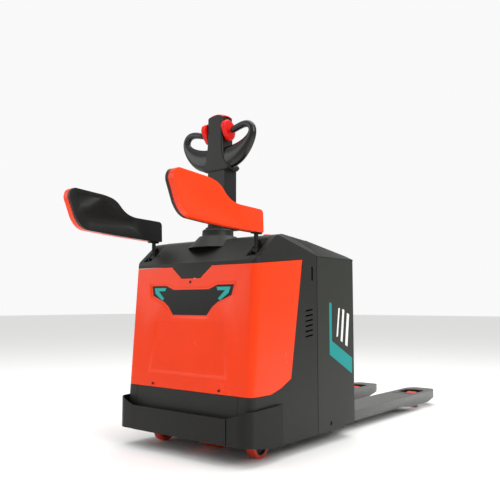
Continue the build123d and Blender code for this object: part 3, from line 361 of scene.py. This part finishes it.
# ------------------------------------------------------------------ covers and plates with rounded edges
for node, material, radius in (
    ("lower_skirt", grained_black_abs, 1.0), ("side_cover_left", grained_black_abs, 1.5),
    ("side_cover_right", grained_black_abs, 1.5), ("top_cowl", grained_black_abs, 1.6),
    ("switch_panel", grained_black_abs, 1.0), ("battery_lid", grained_black_abs, 2.5),
    ("bumper_plate", black_powder_coat, 1.2), ("bumper_guard_left", black_powder_coat, 1.2),
    ("bumper_guard_right", black_powder_coat, 1.2),
    ("side_panel_left", charcoal_powder_coat, 1.2), ("side_panel_right", charcoal_powder_coat, 1.2),
    ("fork_left", fork_enamel, 2.0), ("fork_right", fork_enamel, 2.0),
    ("tiller_mast", head_nylon, 3.0), ("tiller_bracket", black_powder_coat, 2.0),
    ("caster_fork_left", black_powder_coat, 1.0), ("caster_fork_right", black_powder_coat, 1.0),
    ("load_yoke_left", black_powder_coat, 1.0), ("load_yoke_right", black_powder_coat, 1.0),
    ("stop_button", red_acetal, 1.0), ("column_plate", grained_black_abs, 1.5),
    ("steering_column", head_nylon, 1.5), ("drive_hub", cast_iron, 1.0),
    ("drive_tyre", polyurethane, 1.0),
):
    refined(node, material, radius)

# ------------------------------------------------------------------ coloured front cover
rim_half = [(108, 558), (138, 595), (166, 615), (244, 643), (259, 712), (144, 712), (98, 694)]
rim_drop = 6.0               # how deep the rim round the dark panel slopes in
recess_low, recess_high, recess_side = 570.0, 700.0, 245.0   # box round the recess's own edge
press_outer = [(-232, 322), (232, 322), (204, 545), (-204, 545)]
press_inner = [(-196, 350), (196, 350), (188, 543), (-188, 543)]
press_low, press_high, press_drop = 350.0, 543.0, 9.0    # the field is deepest at its foot
press_lip = 0.2              # how far its upper edge already lies behind the face
same_plane = 5e-5            # metres, points this near the face belong to it


def loop_of(bm, outline, lean):
    """A closed chain of edges on the leaning face through (x, z) points."""
    verts = [bm.verts.new((x * MM, lean(z * MM), z * MM)) for x, z in outline]
    return [bm.edges.new(pair) for pair in zip(verts, verts[1:] + verts[:1])]


def front_cover_mesh():
    """The cover with a sloping rim round its recess and a shallow pressed field below it."""
    bm = merged("front_cover")
    bm.normal_update()
    flat = max(facing(bm, (0, -1, 0.07), 0.98), key=lambda f: f.calc_area())
    low, high = (f(flat.verts, key=lambda v: v.co.z).co for f in (min, max))
    slope = (high.y - low.y) / (high.z - low.z)

    def lean(z):
        return low.y + (z - low.z) * slope

    face = [f for f in bm.faces if f.normal.dot(flat.normal) > 0.9999
            and all(abs(v.co.y - lean(v.co.z)) < same_plane for v in f.verts)]
    edges = {e for f in face for e in f.edges}
    bmesh.ops.delete(bm, geom=face, context="FACES_ONLY")
    loose = [e for e in edges if e.is_valid and not e.link_faces]
    bmesh.ops.delete(bm, geom=loose, context="EDGES_FACES")
    border = [e for e in edges if e.is_valid]
    recess = [e for e in border if all(recess_low * MM < v.co.z < recess_high * MM
                                       and abs(v.co.x) < recess_side * MM for v in e.verts)]
    others = [e for e in border if e not in set(recess)]
    rim = loop_of(bm, rim_half + mirrored(rim_half)[::-1], lean)
    outer = loop_of(bm, press_outer, lean)
    inner = loop_of(bm, press_inner, lean)
    for edge in inner:
        for v in edge.verts:
            share = (press_high - v.co.z / MM) / (press_high - press_low)
            v.co.y = lean(v.co.z) + (press_lip + press_drop * share) * MM
    bmesh.ops.triangle_fill(bm, use_beauty=True, edges=others + rim + outer)
    bmesh.ops.triangle_fill(bm, use_beauty=True, edges=rim + recess)
    bmesh.ops.bridge_loops(bm, edges=outer + inner)
    bmesh.ops.contextual_create(bm, geom=inner)
    for v in {v for e in recess for v in e.verts}:
        v.co.y += rim_drop * MM
    for edge in rim + recess + outer + inner:
        edge.smooth = False
    bmesh.ops.recalc_face_normals(bm, faces=bm.faces)
    return bm


orange_cover = link("front_cover_finished",
                    finish_mesh(front_cover_mesh(), "front_cover_finished"), orange_painted_abs,
                    "chassis")
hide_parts("front_cover")
round_edges(orange_cover, 1.6, 3, 24)

# ------------------------------------------------------------------ marks on the side panels
bars_at, bars_low = 663.0, 419.0     # the slanted bars lie behind and above these places
marks = merged("side_marks")
for face in marks.faces:
    in_bars = all(v.co.y > at(bars_at) and v.co.z > bars_low * MM for v in face.verts)
    face.material_index = int(in_bars)
side_mark_films = link("side_mark_films", finish_mesh(marks, "side_mark_films"), teal_vinyl,
                       "fork_carriage")
side_mark_films.data.materials.append(white_vinyl)
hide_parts("side_marks")

# ------------------------------------------------------------------ wheels
def wheel(name, centre, radius, width, core, material, body, node=None):
    """A tread with rolled shoulders on a dished core, about an axle along X."""
    half = width / 2
    tread = turned(name + "_tread", [
        (core, -half + 2), (core + 1, -half + 0.5), (radius - 7, -half), (radius - 3, -half + 1.5),
        (radius - 0.8, -half + 5), (radius, -half + 9), (radius, half - 9), (radius - 0.8, half - 5),
        (radius - 3, half - 1.5), (radius - 7, half), (core + 1, half - 0.5), (core, half - 2),
        (core, -half + 2)], centre, (1, 0, 0), material, body, 64)
    bore = min(10.0, core * 0.4)
    hub = turned(name + "_core", [
        (bore, -half + 1), (bore + 5, -half + 1), (bore + 6, -half + 2), (bore + 7, -half + 8),
        (core - 6, -half + 9), (core - 4, -half + 2), (core, -half + 1.5), (core, half - 1.5),
        (core - 4, half - 2), (core - 6, half - 9), (bore + 7, half - 8), (bore + 6, half - 2),
        (bore + 5, half - 1), (bore, half - 1), (bore, -half + 1)], centre, (1, 0, 0), cast_iron,
        body, 48)
    if node:
        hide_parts(node)
        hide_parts(node)
    return tread, hub


for side in ("left", "right"):
    for kind, width, core in (("caster_wheel_", 44, 34), ("load_wheel_", 60, 30)):
        low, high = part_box(kind + side)
        wheel(kind + side, (low + high) / 2, (high.z - low.z) / 2 / MM, width, core, polyurethane,
              kind + side, kind + side)

# ------------------------------------------------------------------ tiller head
head_front, head_depth = 224.0, 76.0         # its front, behind the bumper plate, and its depth
foot_start, foot_run = 1300.0, 84.0          # the foot spreads below this height, over this run
foot_front_back, foot_rear_back = 6.0, 10.0  # how far its front and rear faces move back


def head_shell_mesh():
    """The tall tongue of the head: flat to the operator, spreading towards its foot."""
    half = [(36, 1470), (43, 1462), (45, 1420), (46, 1340), (50, 1296), (60, 1262), (78, 1238),
            (84, 1228), (70, 1219), (56, 1216)]
    bm = slab(symmetric(half), front_place, head_front, head_front + head_depth)
    middle = at(head_front + head_depth / 2)
    for v in bm.verts:
        share = max(0.0, foot_start - v.co.z / MM) / foot_run
        v.co.y += (foot_front_back if v.co.y < middle else foot_rear_back) * MM * share
    return bm


head_shell = link("head_shell", finish_mesh(head_shell_mesh(), "head_shell"), head_nylon, "tiller")
round_edges(head_shell, 8, 5, 40)
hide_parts("tiller_head")

# the hand loops: a grip bar above, a round bend outside and a broad lobe below
loop_outer = [(8, 1214), (40, 1215), (90, 1220), (142, 1240), (192, 1290), (222, 1348),
              (219, 1396), (190, 1426), (146, 1428), (108, 1417), (76, 1408)]
loop_inner = [(8, 1330), (40, 1330), (80, 1331), (116, 1338), (148, 1348), (176, 1363),
              (186, 1379), (172, 1394), (144, 1394), (108, 1385), (76, 1376)]
loop_front, loop_depth, loop_middle = 232.0, 36.0, 250.0
lobe_start, lobe_spread = 1335.0, 110.0      # the lobes thicken below this height
lobe_back, lobe_swell = 4.0, 0.75            # how far back they move, and how much they thicken


def hand_loop_mesh(sign):
    """One loop: two edge chains bridged, given thickness, and swelled towards the foot."""
    bm = bmesh.new()
    chains = []
    for outline in (loop_outer, loop_inner):
        verts = [bm.verts.new(point(sign * x, loop_front, z)) for x, z in outline]
        chains += [bm.edges.new(pair) for pair in zip(verts, verts[1:])]
    bmesh.ops.bridge_loops(bm, edges=chains)
    grown = bmesh.ops.extrude_face_region(bm, geom=bm.faces[:])
    moved = [v for v in grown["geom"] if isinstance(v, bmesh.types.BMVert)]
    bmesh.ops.translate(bm, verts=moved, vec=(0, loop_depth * MM, 0))
    for v in bm.verts:
        share = max(0.0, (lobe_start - v.co.z / MM) / lobe_spread)
        v.co.y = (at(loop_middle + lobe_back * share)
                  + (v.co.y - at(loop_middle)) * (1 + lobe_swell * share))
    bmesh.ops.recalc_face_normals(bm, faces=bm.faces)
    return bm


for sign, side in ((-1, "left"), (1, "right")):
    loop = link("hand_loop_" + side, smooth_mesh(hand_loop_mesh(sign), "hand_loop_" + side),
                polished_nylon, "tiller")
    subdivided(loop, 3)
    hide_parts("hand_loops")

# red thumb wings, long ovals on both sides of the head
wing_outline = [(207, 1412), (214, 1432), (236, 1445), (262, 1440), (284, 1424), (290, 1396),
                (284, 1368), (264, 1350), (244, 1352), (222, 1378)]
wing_in, wing_out = 49.0, 73.0
for sign, side in ((-1, "left"), (1, "right")):
    bm = slab(wing_outline, side_place, sign * wing_in, sign * wing_out, 6, 2)
    wing = link("thumb_wing_" + side, smooth_mesh(bm, "thumb_wing_" + side), red_acetal, "throttle")
    round_edges(wing, 7, 4, 40)
    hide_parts("throttle")

# red cap over the top of the head, arched across
cap_at, cap_top, cap_thick = 262.0, 1479.5, 5.0
cap_half, cap_half_depth = 48.0, 33.0
cap_arch, cap_fall = 13.0, 6.0       # how far it drops to its sides, and to its front and rear
cap = bmesh.new()
bmesh.ops.create_grid(cap, x_segments=10, y_segments=6, size=1,
                      matrix=Matrix.Translation(point(0, cap_at, cap_top))
                      @ Matrix.Diagonal((cap_half * MM, cap_half_depth * MM, 1, 1)))
for v in cap.verts:
    across = abs(v.co.x) / (cap_half * MM)
    along = abs(v.co.y - at(cap_at)) / (cap_half_depth * MM)
    v.co.z -= (cap_arch * across ** 2.2 + cap_fall * along ** 2) * MM
head_cap = link("head_cap", smooth_mesh(cap, "head_cap"), red_acetal, "belly_button")
thick = head_cap.modifiers.new("wall", "SOLIDIFY")
thick.thickness = cap_thick * MM
thick.offset = 0
subdivided(head_cap, 2)
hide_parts("belly_button")

# ------------------------------------------------------------------ folding guards
# outline points: distance behind the bumper plate, height, and how far the rounding reaches
guard_outline = [(173, 908, 5), (170, 1001, 18), (-4, 1006, 24), (-52, 1024, 24), (-96, 1070, 26),
                 (-150, 1085, 26), (-322, 1097, 15), (-342, 1064, 18), (-300, 962, 22),
                 (-262, 928, 22), (-96, 916, 50), (100, 908, 30)]
blade_field = [(-62, 1000, 26), (-112, 1050, 22), (-160, 1064, 20), (-305, 1073, 8),
               (-312, 1048, 8), (-276, 962, 16), (-252, 944, 12), (-96, 934, 20), (20, 926, 8)]
pad_upper = [(-308, 1082, 8), (-184, 1073, 12), (-224, 1047, 16), (-254, 1029, 16),
             (-290, 1024, 8)]
pad_lower = [(-268, 1000, 16), (-228, 1014, 16), (-176, 1058, 20), (-130, 1056, 22),
             (-40, 1002, 20), (0, 988, 12), (14, 946, 18), (-250, 952, 16)]
arm_inner, arm_split, arm_outer = 282.0, 297.0, 326.0
fold_at, fold_slope = 128.0, 0.10    # the rear end turns inwards behind this place


def rounded_loop(bm, outline, x):
    """A closed loop of edges in side view, every corner rounded by its own reach."""
    corners = [bm.verts.new(side_place(a, z, x)) for a, z, reach in outline]
    face = bm.faces.new(corners)
    for corner, (a, z, reach) in zip(corners, outline):
        bmesh.ops.bevel(bm, geom=[corner], offset=reach * MM, offset_type="OFFSET", segments=6,
                        profile=0.5, affect="VERTICES", material=-1)
    return next(f for f in bm.faces if abs(f.calc_center_median().x - x * MM) < 1e-6
                and len(f.verts) >= len(outline) and not f.tag)


def plate_with_fields(outline, fields, back, front, border, slope, drop):
    """A rounded plate between two X places whose front face has sunk fields.

    border draws the outline in; each field slopes over slope and sinks by drop, in millimetres.
    """
    bm = bmesh.new()
    face = rounded_loop(bm, outline, front)
    if border:
        ring = bmesh.ops.inset_region(bm, faces=[face], thickness=border * MM, use_even_offset=True)
        bmesh.ops.delete(bm, geom=ring["faces"], context="FACES")
    outside = list(face.edges)
    bmesh.ops.delete(bm, geom=[face], context="FACES_ONLY")
    holes = []
    for field in fields:
        sunk = rounded_loop(bm, field, front)
        sunk.tag = True
        holes.append(sunk)
    openings = [e for f in holes for e in f.edges]
    bmesh.ops.triangle_fill(bm, use_beauty=True, edges=outside + openings)
    bmesh.ops.recalc_face_normals(bm, faces=bm.faces)
    side = 1 if front > back else -1
    for f in bm.faces:
        if f.normal.x * side < 0:
            f.normal_flip()
    for f in holes:
        bmesh.ops.inset_region(bm, faces=[f], thickness=slope * MM, depth=-drop * MM,
                               use_even_offset=True)
    wall = bmesh.ops.extrude_edge_only(bm, edges=outside)
    far = [v for v in wall["geom"] if isinstance(v, bmesh.types.BMVert)]
    bmesh.ops.translate(bm, verts=far, vec=((back - front) * MM, 0, 0))
    bmesh.ops.contextual_create(bm, geom=[e for e in wall["geom"] if isinstance(e, bmesh.types.BMEdge)
                                          and all(v in far for v in e.verts)])
    bmesh.ops.recalc_face_normals(bm, faces=bm.faces)
    return bm


for sign, side in ((-1, "left"), (1, "right")):
    body = "guard_arm_" + side
    bm = plate_with_fields(guard_outline, [blade_field], sign * (arm_split + 2),
                           sign * arm_outer, 0, 9, 3)
    for v in bm.verts:
        fold = max(0.0, v.co.y - at(fold_at))
        depth = (abs(v.co.x) / MM - arm_split) / (arm_outer - arm_split)
        v.co.x -= sign * fold_slope * fold * depth
    shell = link("arm_shell_%s_finished" % side, finish_mesh(bm, "arm_shell_" + side),
                 orange_painted_abs, body)
    round_edges(shell, 5, 4, 40)
    rim = plate_with_fields(guard_outline, [], sign * (arm_split + 3), sign * (arm_split - 4),
                            0, 0, 0)
    lip = link("arm_rim_%s" % side, finish_mesh(rim, "arm_rim_" + side), orange_painted_abs, body)
    pad = plate_with_fields(guard_outline, [pad_upper, pad_lower], sign * (arm_split + 1),
                            sign * (arm_inner + 0.5), 6, 5, 3)
    cushion = link("arm_pad_%s_finished" % side, finish_mesh(pad, "arm_pad_" + side), skinned_foam,
                   body)
    round_edges(cushion, 3, 3, 40)
    for piece, node in ((shell, "arm_shell_"), (lip, "arm_shell_"), (cushion, "arm_pad_")):
        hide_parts(node + side)

# ------------------------------------------------------------------ floor, light and camera
floor_half = 30              # metres
floor = bmesh.new()
bmesh.ops.create_grid(floor, x_segments=1, y_segments=1, size=floor_half)
floor_mesh = bpy.data.meshes.new("studio_floor")
floor.to_mesh(floor_mesh)
floor.free()
# Pale seamless paper.
pale_paper = surface("pale_paper", "#FDFDFC", 0.85, 3.0, 0.02, 0.004)
studio_floor = bpy.data.objects.new("studio_floor", floor_mesh)
floor_mesh.materials.append(pale_paper)
scene.collection.objects.link(studio_floor)

tent_low, tent_high = 0.34, 0.95     # how bright the room lights the object, low and high
room_strength = 0.95
world = bpy.data.worlds.new("studio")
world.use_nodes = True
scene.world = world
# The room is white to look at, and lights the object like a tent: bright above, dim below.
sky = world.node_tree
direction = add_node(sky, "TexCoord").outputs["Generated"]
height = add_node(sky, "SeparateXYZ", links={"Vector": direction}).outputs["Z"]
rise = add_node(sky, "MapRange", {"From Min": -0.2, "From Max": 1.0}, {"Value": height})
tent = add_node(sky, "ValToRGB", links={"Fac": rise.outputs["Result"]})
tent.color_ramp.elements[0].color = [tent_low] * 3 + [1]
tent.color_ramp.elements[1].color = [tent_high] * 3 + [1]
seen = add_node(sky, "LightPath").outputs["Is Camera Ray"]
shown = add_node(sky, "MixRGB", {"Color2": linear("#FFFFFF")},
                 {"Fac": seen, "Color1": tent.outputs["Color"]})
sky.nodes["Background"].inputs["Strength"].default_value = room_strength
sky.links.new(shown.outputs["Color"], sky.nodes["Background"].inputs["Color"])


def softbox(name, place, target, size, power):
    """A large soft rectangular lamp aimed at a point."""
    lamp = bpy.data.lights.new(name, "AREA")
    lamp.shape = "RECTANGLE"
    lamp.size, lamp.size_y = size
    lamp.energy = power
    box = bpy.data.objects.new(name, lamp)
    scene.collection.objects.link(box)
    box.location = place
    box.rotation_euler = (Vector(target) - Vector(place)).to_track_quat("-Z", "Y").to_euler()


aim = (0, -0.2, 0.6)
softbox("key_right", (4.2, -1.2, 3.2), aim, (3.0, 2.4), 95)
softbox("fill_left", (-3.6, -3.6, 2.2), aim, (3.0, 2.4), 35)
softbox("top", (0.3, 0.2, 4.4), aim, (4.0, 4.0), 110)

camera = bpy.data.cameras.new("camera")
camera.lens, camera.sensor_width = 44.78, 36.0
camera_object = bpy.data.objects.new("camera", camera)
camera_object.location = (1.8727, bumper_y - 1.8126, 0.6177)
camera_object.rotation_euler = (math.radians(94.988), 0, math.radians(39.265))
scene.collection.objects.link(camera_object)
scene.camera = camera_object
scene.view_settings.view_transform = "Standard"
